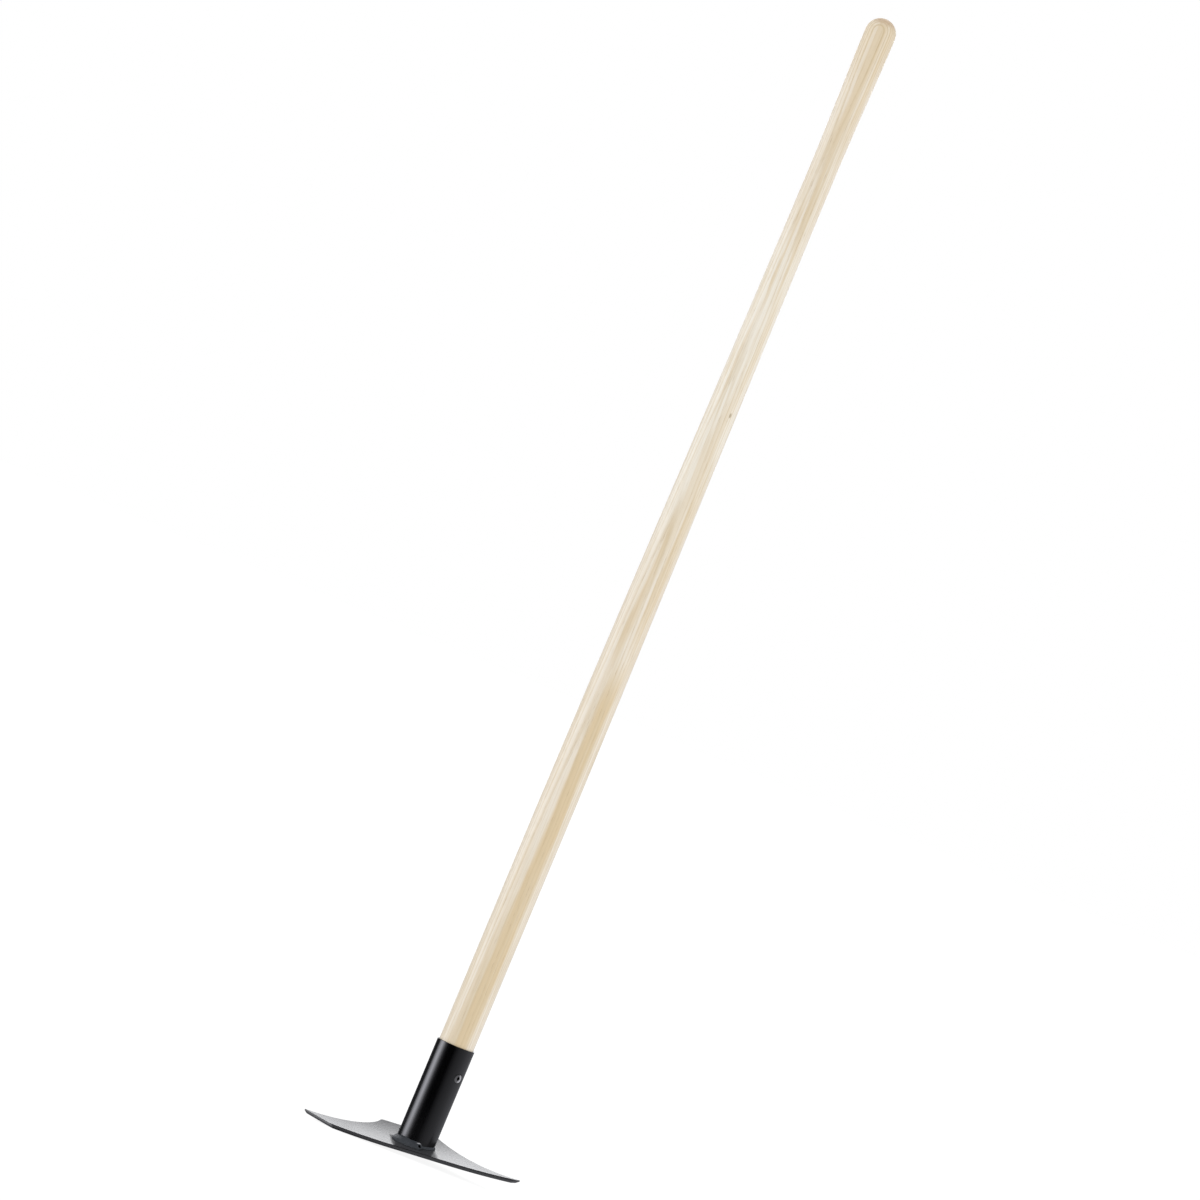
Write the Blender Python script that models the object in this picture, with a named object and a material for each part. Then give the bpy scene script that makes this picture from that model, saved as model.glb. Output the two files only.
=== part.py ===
"""A fire hoe: a turned ash handle, held by one screw in a tube that is welded onto a shallow dished blade.

Lengths are in metres and angles in degrees. +Z runs up the handle, -Y is the cutting side and +X is the
right of someone who faces that side. The origin is the middle of the flat spot under the blade, on the
handle's axis.
"""

import math

import bmesh
import bpy
from mathutils import Matrix, Vector

# Clearance between pieces that touch
GAP = 0.0003

# Blade, seen along the handle: sizes are measured from the handle's axis, and its two corners aren't alike
BLADE_THICKNESS = 0.004
FRONT_REACH = 0.0421
BACK_REACH = 0.049
FRONT_LEFT = 0.0944
FRONT_RIGHT = 0.100
TIP_LEFT = 0.123
TIP_RIGHT = 0.108
TIP_LEFT_SETBACK = 0.0208
TIP_RIGHT_SETBACK = 0.005
BACK_LEFT = 0.0316
BACK_RIGHT = 0.0264
BACK_CORNER_RADIUS = 0.007

# Each hollow side is a cubic curve: how hard its ends pull it, and the angle at which it leaves them
SIDE_PULL_AT_TIP = 0.0527
SIDE_ANGLE_AT_TIP = 12.6
SIDE_PULL_AT_BACK = 0.030
SIDE_ANGLE_AT_BACK = 68.0

# The ground edges are on the underside, along the front and the two clipped corners
GRIND_WIDTH = 0.005
GRIND_LAND = 0.0016

# The blade is dished towards the handle round a flat spot, and leans a little against it
DISH_RADIUS = 0.93
FLAT_MARGIN = 0.002
BLADE_PITCH = 8.0
BLADE_ROLL = 4.45

# Socket tube
TUBE_OUTER = 0.0404
TUBE_WALL = 0.0015
SOCKET_LENGTH = 0.107
RIM_CHAMFER = 0.0004

# Welds: angles are counted from the front, positive towards +X, and tapers are shares of the bead's length
WELD_LEG = 0.010
WELD_HEIGHT = 0.0052
FRONT_WELD = (-112.0, 4.0)
REAR_WELD = (120.0, 216.0)
WELD_START_TAPER = 0.38
WELD_END_TAPER = 0.07
WELD_END_SIZE = 0.25
WELD_HOLLOW = 1.3
WELD_BOW = 0.0022
WELD_RIPPLE = 0.035
RIPPLE_PITCH = 0.0028

# Handle: heights are counted from the socket's rim
FOOT_SPACE = 0.005
FOOT_CHAMFER = 0.0015
HANDLE_REACH = 1.132
HANDLE_LOWER = 0.0372
HANDLE_WAIST = 0.0282
HANDLE_KNOB = 0.0321
TAPER_START = 0.268
WAIST_HEIGHT = 0.950
KNOB_SWELL = 1.35

# Screw: it sits in a countersunk hole, with the edge of its head a little below the tube's outside
SCREW_TURN = 37.0
SCREW_DROP = 0.0302
SCREW_SINK = 0.0004
SCREW_HEAD = 0.0096
SCREW_HEAD_EDGE = 0.0003
SCREW_DOME = 0.0007
SCREW_SHANK = 0.0044
SCREW_LENGTH = 0.026
SCREW_POINT = 0.006
RECESS_SPAN = 0.0048
RECESS_WAVE = 0.26
RECESS_DEPTH = 0.0024
RECESS_LOBES = 6

# Facets
GRID_STEP = 0.0125
CURVE_STEPS = 14
ROUND_STEPS = 8
TUBE_SIDES = 48
HANDLE_SIDES = 32
TAPER_STEPS = 20
KNOB_STEPS = 10
DOME_STEPS = 8
SCREW_SIDES = 24
SCREW_DOME_STEPS = 5
LOBE_SIDES = 6
SCREW_BAND = 0.0065
WELD_ARC_STEPS = 7
RIPPLE_STEPS = 3
ROUND_SHARP = 35
BLADE_SHARP = 12

# What follows from the sizes above
TUBE_RADIUS = TUBE_OUTER / 2
BORE_RADIUS = TUBE_RADIUS - TUBE_WALL
TENON_RADIUS = BORE_RADIUS - GAP
FLAT_HALF = TUBE_RADIUS + GAP + WELD_LEG + FLAT_MARGIN
ROLL = Matrix.Rotation(math.radians(-BLADE_ROLL), 4, "Y")
PITCH = Matrix.Rotation(math.radians(BLADE_PITCH), 4, "X")
LEAN = ROLL @ PITCH
BLADE_UP = LEAN.to_3x3() @ Vector((0, 0, 1))
BLADE_TOP = LEAN @ Vector((0, 0, BLADE_THICKNESS))


def blade_height(x, y):
    """Height of the flat spot's upper face above the point (x, y)."""
    return BLADE_TOP.z - (BLADE_UP.x * (x - BLADE_TOP.x) + BLADE_UP.y * (y - BLADE_TOP.y)) / BLADE_UP.z


SEAT_HEIGHT = blade_height(0, 0)
RIM_HEIGHT = SEAT_HEIGHT + SOCKET_LENGTH


def paint(name, colour, roughness, metallic):
    """A plain Principled material."""
    material = bpy.data.materials.new(name)
    material.use_nodes = True
    shader = material.node_tree.nodes["Principled BSDF"]
    shader.inputs["Base Color"].default_value = (*colour, 1)
    shader.inputs["Roughness"].default_value = roughness
    shader.inputs["Metallic"].default_value = metallic
    return material


def add_piece(name, bm, material, sharp_from=ROUND_SHARP):
    """Turns a finished bmesh into a named object, smooth except at edges sharper than the given angle."""
    bmesh.ops.recalc_face_normals(bm, faces=bm.faces)
    mesh = bpy.data.meshes.new(name)
    bm.to_mesh(mesh)
    bm.free()
    mesh.shade_smooth()
    mesh.set_sharp_from_angle(angle=math.radians(sharp_from))
    mesh.materials.append(material)
    piece = bpy.data.objects.new(name, mesh)
    bpy.context.scene.collection.objects.link(piece)
    return piece


def add_cutter(name, bm):
    """A helper solid that only cuts. It is all sharp, so that the edges that it cuts are sharp too."""
    cutter = add_piece(name, bm, CUTTER_PAINT)
    cutter.data.shade_flat()
    cutter.hide_render = True
    cutter.display_type = "WIRE"
    return cutter


def cut(piece, cutter):
    """Takes the cutter out of the piece."""
    modifier = piece.modifiers.new("cut_" + cutter.name, "BOOLEAN")
    modifier.operation = "DIFFERENCE"
    modifier.solver = "EXACT"
    modifier.object = cutter


def turned(profile, sides):
    """A solid of revolution about Z from (radius, height) points that start and end on the axis."""
    bm = bmesh.new()
    verts = [bm.verts.new((radius, 0, height)) for radius, height in profile]
    edges = [bm.edges.new(pair) for pair in zip(verts, verts[1:])]
    bmesh.ops.spin(
        bm, geom=verts + edges, cent=(0, 0, 0), axis=(0, 0, 1), angle=2 * math.pi, steps=sides, use_merge=True
    )
    bmesh.ops.remove_doubles(bm, verts=bm.verts, dist=1e-6)
    return bm


def lofted(rings, loop):
    """Joins rings of points with quads. A loop of rings closes on itself, or else both ends are capped."""
    bm = bmesh.new()
    rows = [[bm.verts.new(point) for point in ring] for ring in rings]
    pairs = list(zip(rows, rows[1:]))
    if loop:
        pairs.append((rows[-1], rows[0]))
    for lower, upper in pairs:
        for i in range(len(lower)):
            j = (i + 1) % len(lower)
            bm.faces.new((lower[i], lower[j], upper[j], upper[i]))
    if not loop:
        bm.faces.new(rows[0])
        bm.faces.new(rows[-1])
    return bm


def circle(radius, sides, height):
    """Points round the Z axis, each at the height that the given function says."""
    turns = [2 * math.pi * i / sides for i in range(sides)]
    flat = [(radius * math.cos(turn), radius * math.sin(turn)) for turn in turns]
    return [(x, y, height(x, y)) for x, y in flat]


def cubic(start, pull_out, pull_in, end, steps):
    """Points along a cubic curve, without its last."""
    points = []
    for i in range(steps):
        t = i / steps
        s = 1 - t
        points.append(start * s**3 + pull_out * 3 * s * s * t + pull_in * 3 * s * t * t + end * t**3)
    return points


def side_outline(front, tip, corner):
    """Half of the blade's plan, as on its right: front corner, tip, hollow side and rounded back corner."""
    at_tip = math.radians(SIDE_ANGLE_AT_TIP)
    at_back = math.radians(SIDE_ANGLE_AT_BACK)
    leaving = tip + SIDE_PULL_AT_TIP * Vector((-math.cos(at_tip), math.sin(at_tip)))
    inward = Vector((math.cos(at_back), -math.sin(at_back)))
    arriving = corner + SIDE_PULL_AT_BACK * inward
    round_start = corner + BACK_CORNER_RADIUS * inward
    round_end = corner - Vector((BACK_CORNER_RADIUS, 0))
    side = cubic(tip, leaving, arriving, round_start, CURVE_STEPS)
    rounding = cubic(round_start, corner, corner, round_end, ROUND_STEPS)
    return [front] + side + rounding + [round_end]


def blade_outline():
    """The blade's plan, anticlockwise from the right end of the front edge."""
    right = side_outline(
        Vector((FRONT_RIGHT, -FRONT_REACH)),
        Vector((TIP_RIGHT, TIP_RIGHT_SETBACK - FRONT_REACH)),
        Vector((BACK_RIGHT, BACK_REACH)),
    )
    left = side_outline(
        Vector((FRONT_LEFT, -FRONT_REACH)),
        Vector((TIP_LEFT, TIP_LEFT_SETBACK - FRONT_REACH)),
        Vector((BACK_LEFT, BACK_REACH)),
    )
    return right + [Vector((-point.x, point.y)) for point in reversed(left)]


def dish(distance):
    """Rise of the dish at a distance from the socket's axis along either of the blade's directions."""
    beyond = max(0.0, abs(distance) - FLAT_HALF)
    return beyond * beyond / (2 * DISH_RADIUS)


def grind(bm, start, end):
    """Cuts the ground face on the underside, along the outline's edge from start to end."""
    along = (end - start).normalized()
    outward = Vector((along.y, -along.x, 0))
    fall = Vector((-outward.x * GRIND_WIDTH, -outward.y * GRIND_WIDTH, -(BLADE_THICKNESS - GRIND_LAND)))
    normal = fall.cross(Vector((along.x, along.y, 0)))
    if normal.z > 0:
        normal.negate()
    foot = Vector((start.x, start.y, BLADE_THICKNESS - GRIND_LAND))
    geometry = bm.verts[:] + bm.edges[:] + bm.faces[:]
    found = bmesh.ops.bisect_plane(
        bm, geom=geometry, dist=1e-7, plane_co=foot, plane_no=normal, clear_outer=True
    )
    rim = [item for item in found["geom_cut"] if isinstance(item, bmesh.types.BMEdge)]
    bmesh.ops.edgenet_fill(bm, edges=rim)


def grid_lines(low, high):
    """Where the dish needs facets between low and high, counted out from the flat spot."""
    below = [-FLAT_HALF - i * GRID_STEP for i in range(int((-low - FLAT_HALF) / GRID_STEP) + 1)]
    above = [FLAT_HALF + i * GRID_STEP for i in range(int((high - FLAT_HALF) / GRID_STEP) + 1)]
    return below + above


def make_blade():
    """A flat plate of the outline, ground along its cutting edges, then dished and leaned."""
    outline = blade_outline()
    bm = bmesh.new()
    floor = bm.faces.new([bm.verts.new((point.x, point.y, 0)) for point in outline])
    raised = bmesh.ops.extrude_face_region(bm, geom=[floor], use_keep_orig=True)["geom"]
    top = [item for item in raised if isinstance(item, bmesh.types.BMVert)]
    bmesh.ops.translate(bm, verts=top, vec=(0, 0, BLADE_THICKNESS))
    bmesh.ops.recalc_face_normals(bm, faces=bm.faces)
    front_left, front_right = outline[-1], outline[0]
    tip_left, tip_right = outline[-2], outline[1]
    for start, end in ((front_left, front_right), (front_right, tip_right), (tip_left, front_left)):
        grind(bm, start, end)
    for axis in (Vector((1, 0, 0)), Vector((0, 1, 0))):
        reaches = [vert.co.dot(axis) for vert in bm.verts]
        for line in grid_lines(min(reaches), max(reaches)):
            geometry = bm.verts[:] + bm.edges[:] + bm.faces[:]
            bmesh.ops.bisect_plane(bm, geom=geometry, dist=1e-7, plane_co=axis * line, plane_no=axis)
    bmesh.ops.triangulate(bm, faces=bm.faces)
    for vert in bm.verts:
        vert.co.z += dish(vert.co.x) + dish(vert.co.y)
    bmesh.ops.transform(bm, matrix=LEAN, verts=bm.verts)
    return add_piece("blade", bm, BLACK_PAINT, BLADE_SHARP)


def make_socket_tube():
    """A plain tube whose foot follows the blade. Its rim is chamfered, and its facets are short at the screw."""
    screw_height = RIM_HEIGHT - SCREW_DROP

    def foot(x, y):
        return blade_height(x, y) + GAP

    def level(height):
        return lambda x, y: height

    rings = [
        circle(BORE_RADIUS, TUBE_SIDES, foot),
        circle(TUBE_RADIUS, TUBE_SIDES, foot),
        circle(TUBE_RADIUS, TUBE_SIDES, level(screw_height - SCREW_BAND)),
        circle(TUBE_RADIUS, TUBE_SIDES, level(screw_height + SCREW_BAND)),
        circle(TUBE_RADIUS, TUBE_SIDES, level(RIM_HEIGHT - RIM_CHAMFER)),
        circle(TUBE_RADIUS - RIM_CHAMFER, TUBE_SIDES, level(RIM_HEIGHT)),
        circle(BORE_RADIUS, TUBE_SIDES, level(RIM_HEIGHT)),
        circle(BORE_RADIUS, TUBE_SIDES, level(screw_height + SCREW_BAND)),
        circle(BORE_RADIUS, TUBE_SIDES, level(screw_height - SCREW_BAND)),
    ]
    return add_piece("socket_tube", lofted(rings, loop=True), TUBE_PAINT)


def ease(t):
    """0 to 1 with a level start and a level end."""
    t = min(max(t, 0.0), 1.0)
    return t * t * (3 - 2 * t)


def handle_radius(out):
    """Radius of the turned handle at a distance out of the socket, up to the middle of its round end."""
    knob_middle = HANDLE_REACH - HANDLE_KNOB / 2
    if out <= WAIST_HEIGHT:
        share = max(0.0, (out - TAPER_START) / (WAIST_HEIGHT - TAPER_START))
        return (HANDLE_LOWER + (HANDLE_WAIST - HANDLE_LOWER) * (ease(share) + share) / 2) / 2
    swell = ease((out - WAIST_HEIGHT) / (knob_middle - WAIST_HEIGHT)) ** KNOB_SWELL
    return (HANDLE_WAIST + (HANDLE_KNOB - HANDLE_WAIST) * swell) / 2


def make_handle():
    """Tenon, long taper, waist and rounded knob, turned in one piece."""
    lean_slope = math.hypot(BLADE_UP.x, BLADE_UP.y) / BLADE_UP.z
    foot = SEAT_HEIGHT + TENON_RADIUS * lean_slope + FOOT_SPACE
    knob_radius = HANDLE_KNOB / 2
    knob_middle = HANDLE_REACH - knob_radius
    profile = [(0, foot), (TENON_RADIUS - FOOT_CHAMFER, foot), (TENON_RADIUS, foot + FOOT_CHAMFER)]
    profile += [(TENON_RADIUS, RIM_HEIGHT + GAP), (HANDLE_LOWER / 2, RIM_HEIGHT + 2 * GAP)]
    stations = [TAPER_START + (WAIST_HEIGHT - TAPER_START) * i / TAPER_STEPS for i in range(TAPER_STEPS)]
    stations += [WAIST_HEIGHT + (knob_middle - WAIST_HEIGHT) * i / KNOB_STEPS for i in range(KNOB_STEPS + 1)]
    profile += [(handle_radius(out), RIM_HEIGHT + out) for out in stations]
    for i in range(1, DOME_STEPS):
        turn = math.pi / 2 * i / DOME_STEPS
        height = RIM_HEIGHT + knob_middle + knob_radius * math.sin(turn)
        profile.append((knob_radius * math.cos(turn), height))
    profile.append((0, RIM_HEIGHT + HANDLE_REACH))
    return add_piece("handle", turned(profile, HANDLE_SIDES), ASH)


def screw_place():
    """Turns +Z outward along the screw's axis and brings the origin to the tube's axis at its height."""
    turn = math.radians(SCREW_TURN)
    outward = Vector((math.sin(turn), -math.cos(turn), 0))
    facing = outward.to_track_quat("Z", "Y").to_matrix().to_4x4()
    return Matrix.Translation((0, 0, RIM_HEIGHT - SCREW_DROP)) @ facing


def screw_heights():
    """Distances from the tube's axis to the screw's point, the foot of its head's cone and its head's edge."""
    edge = TUBE_RADIUS - SCREW_SINK
    throat = edge - SCREW_HEAD_EDGE - (SCREW_HEAD - SCREW_SHANK) / 2
    return edge - SCREW_LENGTH, throat, edge


def star(height):
    """The outline of the screw's star recess at a height."""
    sides = RECESS_LOBES * LOBE_SIDES
    points = []
    for i in range(sides):
        turn = 2 * math.pi * i / sides
        radius = RECESS_SPAN / 2 * (1 - RECESS_WAVE * (1 - math.cos(RECESS_LOBES * turn)) / 2)
        points.append((radius * math.cos(turn), radius * math.sin(turn), height))
    return points


def make_screw():
    """A countersunk wood screw with a low dome and a star recess."""
    point, throat, edge = screw_heights()
    head = SCREW_HEAD / 2
    shank = SCREW_SHANK / 2
    profile = [(0, point), (shank, point + SCREW_POINT), (shank, throat), (head, edge - SCREW_HEAD_EDGE)]
    for i in range(SCREW_DOME_STEPS):
        turn = math.pi / 2 * i / SCREW_DOME_STEPS
        profile.append((head * math.cos(turn), edge + SCREW_DOME * math.sin(turn)))
    profile.append((0, edge + SCREW_DOME))
    bm = turned(profile, SCREW_SIDES)
    bmesh.ops.transform(bm, matrix=screw_place(), verts=bm.verts)
    screw = add_piece("handle_screw", bm, ZINC)
    top = edge + SCREW_DOME
    bm = lofted([star(top - RECESS_DEPTH), star(top + RECESS_DEPTH)], loop=False)
    bmesh.ops.transform(bm, matrix=screw_place(), verts=bm.verts)
    cut(screw, add_cutter("star_recess", bm))
    return screw


def make_screw_hole():
    """The countersunk hole for the screw, through the tube's wall and into the handle."""
    point, throat, edge = screw_heights()
    hole = SCREW_SHANK / 2 + GAP
    mouth = SCREW_HEAD / 2 + GAP
    # The cone is at 45 degrees, so this brings it the full gap away from the head's cone
    lower = GAP * (math.sqrt(2) - 1)
    profile = [(0, point - GAP), (hole, point - GAP + SCREW_POINT), (hole, throat - lower)]
    profile += [(mouth, edge - SCREW_HEAD_EDGE - lower), (mouth, TUBE_OUTER), (0, TUBE_OUTER)]
    bm = turned(profile, SCREW_SIDES)
    bmesh.ops.transform(bm, matrix=screw_place(), verts=bm.verts)
    return add_cutter("screw_hole", bm)


def weld_point(turn, out, up):
    """A place on a weld: an angle from the front, a distance out of the tube and a height over the blade."""
    reach = TUBE_RADIUS + GAP + out
    x, y = reach * math.sin(turn), -reach * math.cos(turn)
    return (x, y, blade_height(x, y) + GAP + up)


def weld_section(turn, size):
    """Points round one slice of the fillet. The middle of the slice runs ahead of its edges, as in a weld."""
    points = [weld_point(turn, 0, 0)]
    for i in range(WELD_ARC_STEPS + 1):
        share = i / WELD_ARC_STEPS
        along = math.pi / 2 * share
        ahead = WELD_BOW * size * math.sin(math.pi * share) / (TUBE_RADIUS + WELD_LEG / 2)
        out = WELD_LEG * size * math.cos(along) ** WELD_HOLLOW
        up = WELD_HEIGHT * size * math.sin(along) ** WELD_HOLLOW
        points.append(weld_point(turn + ahead, out, up))
    return points


def make_weld(name, span):
    """A fillet bead round part of the tube's foot, with the ripples and the tapered ends of a hand weld."""
    first, last = (math.radians(angle) for angle in span)
    length = (last - first) * (TUBE_RADIUS + WELD_LEG / 2)
    steps = max(1, round(length / RIPPLE_PITCH)) * RIPPLE_STEPS
    rings = []
    for i in range(steps + 1):
        t = i / steps
        swell = 1 + WELD_RIPPLE * (1 - 2 * (i % RIPPLE_STEPS) / (RIPPLE_STEPS - 1))
        taper = ease(t / WELD_START_TAPER) * math.sqrt(ease((1 - t) / WELD_END_TAPER))
        size = WELD_END_SIZE + (1 - WELD_END_SIZE) * taper
        rings.append(weld_section(first + (last - first) * t, swell * size))
    return add_piece(name, lofted(rings, loop=False), WELD_PAINT)


for leftover in list(bpy.data.objects):
    bpy.data.objects.remove(leftover, do_unlink=True)

BLACK_PAINT = paint("black_paint_blade", (0.012, 0.012, 0.013), 0.3, 0.0)
TUBE_PAINT = paint("black_paint_tube", (0.012, 0.012, 0.013), 0.3, 0.0)
WELD_PAINT = paint("black_paint_weld", (0.014, 0.014, 0.015), 0.4, 0.0)
ASH = paint("ash_wood", (0.76, 0.65, 0.50), 0.5, 0.0)
ZINC = paint("zinc_plate", (0.62, 0.62, 0.63), 0.3, 1.0)
CUTTER_PAINT = paint("cutter", (0.8, 0.1, 0.1), 0.5, 0.0)

make_blade()
socket_tube = make_socket_tube()
handle = make_handle()
screw_hole = make_screw_hole()
cut(socket_tube, screw_hole)
cut(handle, screw_hole)
make_screw()
make_weld("weld_bead_front", FRONT_WELD)
make_weld("weld_bead_rear", REAR_WELD)
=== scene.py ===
"""Looks of the fire hoe: fine meshes and finishes for its six pieces and a thin root bead, and their studio.

Lengths are in metres and angles in degrees. +Z runs up the handle and -Y is the side of the blade's cutting
edge.
"""

import math

import bpy
from mathutils import Matrix, Vector, noise


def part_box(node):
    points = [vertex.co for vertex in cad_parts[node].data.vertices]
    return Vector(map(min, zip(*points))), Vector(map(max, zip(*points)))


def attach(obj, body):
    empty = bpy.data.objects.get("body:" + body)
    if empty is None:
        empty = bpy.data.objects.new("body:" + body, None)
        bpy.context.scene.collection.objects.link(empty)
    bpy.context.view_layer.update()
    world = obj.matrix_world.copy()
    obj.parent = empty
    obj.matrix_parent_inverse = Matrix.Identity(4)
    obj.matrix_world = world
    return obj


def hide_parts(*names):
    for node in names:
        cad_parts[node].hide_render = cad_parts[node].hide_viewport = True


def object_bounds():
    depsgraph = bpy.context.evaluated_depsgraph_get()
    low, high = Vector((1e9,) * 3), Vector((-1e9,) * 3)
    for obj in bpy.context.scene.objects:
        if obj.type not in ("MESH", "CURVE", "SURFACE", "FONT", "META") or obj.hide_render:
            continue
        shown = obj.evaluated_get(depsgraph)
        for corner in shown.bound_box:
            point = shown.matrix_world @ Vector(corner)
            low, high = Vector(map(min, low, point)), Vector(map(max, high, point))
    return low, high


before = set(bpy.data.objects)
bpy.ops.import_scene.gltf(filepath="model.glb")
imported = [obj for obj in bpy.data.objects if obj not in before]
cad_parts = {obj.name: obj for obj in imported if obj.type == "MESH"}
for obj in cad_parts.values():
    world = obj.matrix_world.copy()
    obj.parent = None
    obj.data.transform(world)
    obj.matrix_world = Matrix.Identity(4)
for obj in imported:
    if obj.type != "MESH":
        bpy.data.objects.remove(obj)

CAD_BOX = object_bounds()

# Sizes that the model's source also has
GAP = 0.0003
BLADE_THICKNESS = 0.004
FRONT_REACH = 0.0421
BACK_REACH = 0.049
FRONT_LEFT = 0.0944
FRONT_RIGHT = 0.100
TIP_LEFT = 0.123
TIP_RIGHT = 0.108
TIP_LEFT_SETBACK = 0.0208
TIP_RIGHT_SETBACK = 0.005
BACK_LEFT = 0.0316
BACK_RIGHT = 0.0264
BACK_CORNER_RADIUS = 0.007
SIDE_PULL_AT_TIP = 0.0527
SIDE_ANGLE_AT_TIP = 12.6
SIDE_PULL_AT_BACK = 0.030
SIDE_ANGLE_AT_BACK = 68.0
GRIND_LAND = 0.0016
DISH_RADIUS = 0.93
FLAT_MARGIN = 0.002
BLADE_PITCH = 8.0
BLADE_ROLL = 4.45
TUBE_OUTER = 0.0404
TUBE_WALL = 0.0015
WELD_LEG = 0.010
WELD_HEIGHT = 0.0052
REAR_WELD = (120.0, 216.0)
WELD_END_TAPER = 0.07
WELD_HOLLOW = 1.3
WELD_BOW = 0.0022
RIPPLE_PITCH = 0.0028
FOOT_CHAMFER = 0.0015
HANDLE_REACH = 1.132
HANDLE_LOWER = 0.0372
HANDLE_WAIST = 0.0282
HANDLE_KNOB = 0.0321
TAPER_START = 0.268
WAIST_HEIGHT = 0.950
KNOB_SWELL = 1.35
SCREW_TURN = 37.0
SCREW_DROP = 0.0302
SCREW_SINK = 0.0004
SCREW_HEAD = 0.0096
SCREW_HEAD_EDGE = 0.0003
SCREW_DOME = 0.0007
SCREW_SHANK = 0.0044
SCREW_LENGTH = 0.026
SCREW_POINT = 0.006
RECESS_SPAN = 0.0048
RECESS_WAVE = 0.26
RECESS_DEPTH = 0.0024
RECESS_LOBES = 6

# How fine the meshes are
HANDLE_SIDES = 96
LOWER_STEPS = 6
TAPER_STEPS = 48
KNOB_STEPS = 24
DOME_STEPS = 16
TUBE_SIDES = 160
TUBE_RINGS = (0.03, 0.06)
HOLE_BAND = 0.0065
EDGE_STEPS = 3
CURVE_STEPS = 24
GRID_STEP = 0.004
WELD_SECTION_STEPS = 20
RIPPLE_STEPS = 8
SCREW_SIDES = 64
SCREW_DOME_STEPS = 10

# Working values: the radii left at pointed ends, tolerances, and how the tools are set
SCREW_TIP = 0.0001
KNOB_TIP_SHARE = 0.01
STRAIGHT_PULL = 0.3
TINY = 1e-6
CUT_TOLERANCE = 1e-5
FLAT_ANGLE = 0.1
TURN_SLACK = 6.0
FACE_WEIGHT = 80

# From which angle on each piece's edges look sharp
HANDLE_SHARP = 40
TUBE_SHARP = 30
BLADE_SHARP = 24
WELD_SHARP = 50
SCREW_SHARP = 30

# Fine shapes that only the looks have. The front weld runs on a little further than the source's.
FRONT_WELD = (-112.0, 8.0)
TUBE_RIM_ROUNDING = 0.0004
BLADE_EDGE_ROUNDING = 0.0003
RIPPLE_HEIGHT = 0.012
WELD_TIP_SIZE = 0.10
WELD_UNEVENNESS = 0.12
WELD_UNEVENNESS_PITCH = 0.006
WELD_SLOW_START = 0.56
WELD_BULGE = 0.14
WELD_BULGE_TURN = -58.0
WELD_BULGE_SPREAD = 22.0
ROOT_SPAN = (6.5, 66.0)
ROOT_LEG = 0.0020
ROOT_HEIGHT = 0.0024
ROOT_SLOW_START = 0.04
CRATER_SETBACK = 0.0040
CRATER_SHARE = 0.46
CRATER_RADIUS = 0.0015
CRATER_DEPTH = 0.0014
CRATER_LIP = 0.0004
LIP_PLACE = 1.9
LIP_SPREAD = 0.6
CRATER_BODY = 0.6
LOOKS_GRIND_WIDTH = 0.0025
KNOT_PLACE = (0.0095, -0.0130, 0.809)

# What follows from the sizes above
TUBE_RADIUS = TUBE_OUTER / 2
TENON_RADIUS = TUBE_RADIUS - TUBE_WALL - GAP
FLAT_HALF = TUBE_RADIUS + GAP + WELD_LEG + FLAT_MARGIN
ROLL = Matrix.Rotation(math.radians(-BLADE_ROLL), 4, "Y")
PITCH = Matrix.Rotation(math.radians(BLADE_PITCH), 4, "X")
LEAN = ROLL @ PITCH
BLADE_UP = LEAN.to_3x3() @ Vector((0, 0, 1))
BLADE_TOP = LEAN @ Vector((0, 0, BLADE_THICKNESS))
RIM_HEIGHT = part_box("socket_tube")[1].z
HANDLE_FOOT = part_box("handle")[0].z
HANDLE_TOP = RIM_HEIGHT + HANDLE_REACH

# The camera: it looks level, from a little left of the front, and is rolled so that the handle leans right
CAMERA_TURN = 11.345
CAMERA_ROLL = 22.754
CAMERA_DISTANCE = 6.460
CAMERA_HEIGHT = 0.5852
CAMERA_SIDESTEP = -0.0402
CAMERA_LENS = 190.37
CAMERA_SENSOR = 36
CAMERA_SIGHT = 100

# Colours of the wood
WOOD_PALE = (0.866, 0.798, 0.692, 1)
WOOD_DEEPER = (0.832, 0.742, 0.610, 1)
WOOD_PALEST = (0.905, 0.863, 0.772, 1)
WOOD_TAN = (0.735, 0.590, 0.385, 1)
RING_BROWN = (0.625, 0.492, 0.290, 1)
FIBRE_BROWN = (0.655, 0.530, 0.335, 1)
PORE_BROWN = (0.400, 0.270, 0.150, 1)
END_BROWN = (0.520, 0.350, 0.210, 1)
KNOT_BROWN = (0.380, 0.300, 0.180, 1)

# Colours of the paint, the zinc, the light and shade painted on them, and the studio
TUBE_BLACK = (0.0004, 0.0004, 0.0006)
BLADE_BLACK = (0.022, 0.023, 0.026)
WELD_BLACK = (0.047, 0.052, 0.060)
DUST_GREY = (0.05, 0.05, 0.052, 1)
# Painted highlight on the front weld's crater lip, and painted shade in the crater's pit
LIP_HIGHLIGHT_GREY = (0.52, 0.52, 0.54, 1)
PIT_SHADE_BLACK = (0.0003, 0.0003, 0.0004, 1)
# Painted soft reflection of the tube, grey round it on the blade's top
SOFT_REFLECTION_GREY = (0.070, 0.071, 0.075, 1)
# Painted reflection of the tube on the blade's top before it
TUBE_REFLECTION_BLACK = (0.040, 0.041, 0.045, 1)
# Painted shade along the blade's front edge
FRONT_EDGE_SHADE_BLACK = (0.020, 0.020, 0.022, 1)
# Painted highlight on the left corner's edge
CORNER_HIGHLIGHT_GREY = (0.16, 0.16, 0.165, 1)
ZINC_SHADE = (0.58, 0.58, 0.58, 1)
ZINC_LIGHT = (0.70, 0.69, 0.67, 1)
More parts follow.
